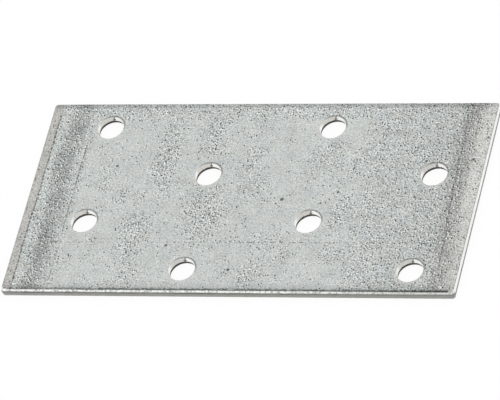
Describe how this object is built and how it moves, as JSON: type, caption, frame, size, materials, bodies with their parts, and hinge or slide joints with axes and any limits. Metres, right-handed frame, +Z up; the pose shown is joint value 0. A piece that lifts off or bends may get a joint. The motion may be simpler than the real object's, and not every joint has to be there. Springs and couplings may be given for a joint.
{
  "type": "mending plate",
  "caption": "Flat rectangular mending plate of galvanised steel sheet with staggered punched nail holes.",
  "frame": {"origin": "middle of the underside, on the surface that the plate lies on", "axes": "+X along the plate, +Y across it to the back edge, +Z up through the sheet"},
  "size_m": [0.08, 0.04, 0.0015],
  "materials": {
    "galvanised_steel": "hot-dip zinc coat, matt grey with fine speckle"
  },
  "bodies": {
    "root": {"plate": "galvanised_steel"}
  },
  "joints": []
}
